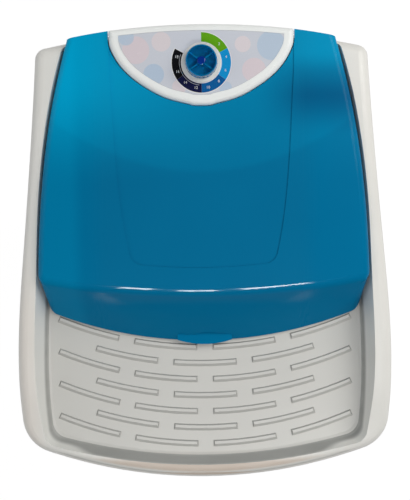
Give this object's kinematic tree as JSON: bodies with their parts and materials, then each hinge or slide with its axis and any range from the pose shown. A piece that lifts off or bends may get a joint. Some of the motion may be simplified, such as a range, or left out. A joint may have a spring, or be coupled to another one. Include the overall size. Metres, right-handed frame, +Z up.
{
  "type": "semi-automatic washing machine",
  "caption": "Top-loading single-tub washing machine with a ribbed washboard tray, a hinged lid and a spring-wound timer knob.",
  "frame": {"origin": "on the floor, under the middle of the machine's outline", "axes": "+Z up, -Y is the front (washboard side), +X is the right-hand side seen from the front"},
  "size_m": [0.4952, 0.59, 0.9072],
  "materials": {
    "white_plastic": "satin gloss moulding",
    "blue_plastic": "blue gloss moulding",
    "overlay_film": "printed film with pale round motifs",
    "clear_blue": "see-through blue moulding",
    "dark_plastic": "black moulding",
    "grey_plastic": "grey moulding",
    "tub_plastic": "white moulding",
    "pale_blue_plastic": "pale blue moulding",
    "capacitor_can": "plain light grey can",
    "black_rubber": "black rubber",
    "steel": "zinc-plated steel",
    "painted_steel": "black painted sheet steel",
    "cast_aluminium": "die-cast aluminium",
    "bronze": "sintered bronze",
    "stator_iron": "varnished laminations",
    "net_fabric": "fine woven net"
  },
  "bodies": {
    "root": {"top_frame": "white_plastic", "console_housing": "white_plastic", "panel_overlay": "overlay_film", "dial_collar": "white_plastic", "timer_body": "dark_plastic", "timer_screws": "steel", "console_screws": "steel", "cabinet_shell": "white_plastic", "rear_cover": "white_plastic", "rear_cover_screws": "steel", "cord_grommet": "black_rubber", "frame_screws": "steel", "base_frame": "grey_plastic", "feet": "black_rubber", "foot_screws": "steel", "tub": "tub_plastic", "tub_seal": "black_rubber", "bearing_housing": "cast_aluminium", "shaft_bushes": "bronze", "shaft_seal": "black_rubber", "housing_bolts": "steel", "drive_belt": "black_rubber", "motor_core": "stator_iron", "motor_bells": "cast_aluminium", "motor_bolts": "steel", "rubber_mounts": "black_rubber", "mount_bolts": "steel", "motor_bracket": "painted_steel", "bracket_bolts": "steel", "capacitor": "capacitor_can", "capacitor_clip": "painted_steel", "drain_strainer": "grey_plastic", "drain_elbow": "black_rubber", "drain_pipe": "grey_plastic", "overflow_pipe": "grey_plastic", "drain_spigot": "grey_plastic", "hose_clamps": "steel", "overflow_grille": "tub_plastic", "filter_guide": "tub_plastic"},
    "lid": {"lid_shell": "blue_plastic", "hinge_pins": "steel", "lid_bumpers": "black_rubber"},
    "knob": {"timer_knob": "clear_blue", "timer_shaft": "steel"},
    "agitator_set": {"agitator": "pale_blue_plastic", "agitator_cap": "pale_blue_plastic", "agitator_screw": "steel", "agitator_shaft": "steel", "large_pulley": "cast_aluminium", "pulley_nut": "steel"},
    "rotor": {"motor_shaft": "steel", "motor_rotor": "cast_aluminium", "motor_pulley": "cast_aluminium", "pulley_set_screw": "steel"},
    "filter": {"filter_frame": "pale_blue_plastic", "filter_net": "net_fabric"}
  },
  "joints": [
    {"name": "lid_hinge", "type": "hinge", "parent": "root", "child": "lid", "pos_m": [0, 0.28, 0.878], "axis": [-1, 0, 0], "range_deg": [0, 95]},
    {"name": "timer_turn", "type": "hinge", "parent": "root", "child": "knob", "pos_m": [0, 0.246, 0.88862], "axis": [0, 0.0785, -0.9969], "range_deg": [0, 300]},
    {"name": "agitator_spin", "type": "hinge", "parent": "root", "child": "agitator_set", "pos_m": [0, 0, 0.255], "axis": [0, 0, 1], "continuous": true},
    {"name": "motor_spin", "type": "hinge", "parent": "root", "child": "rotor", "pos_m": [0, -0.165, 0.255], "axis": [0, 0, 1], "continuous": true},
    {"name": "filter_lift", "type": "slide", "parent": "root", "child": "filter", "axis": [0, 0, 1], "range_m": [0, 0.04]}
  ],
  "couplings": [
    {"joint": "motor_spin", "follows": "agitator_spin", "ratio": 4.55}
  ]
}
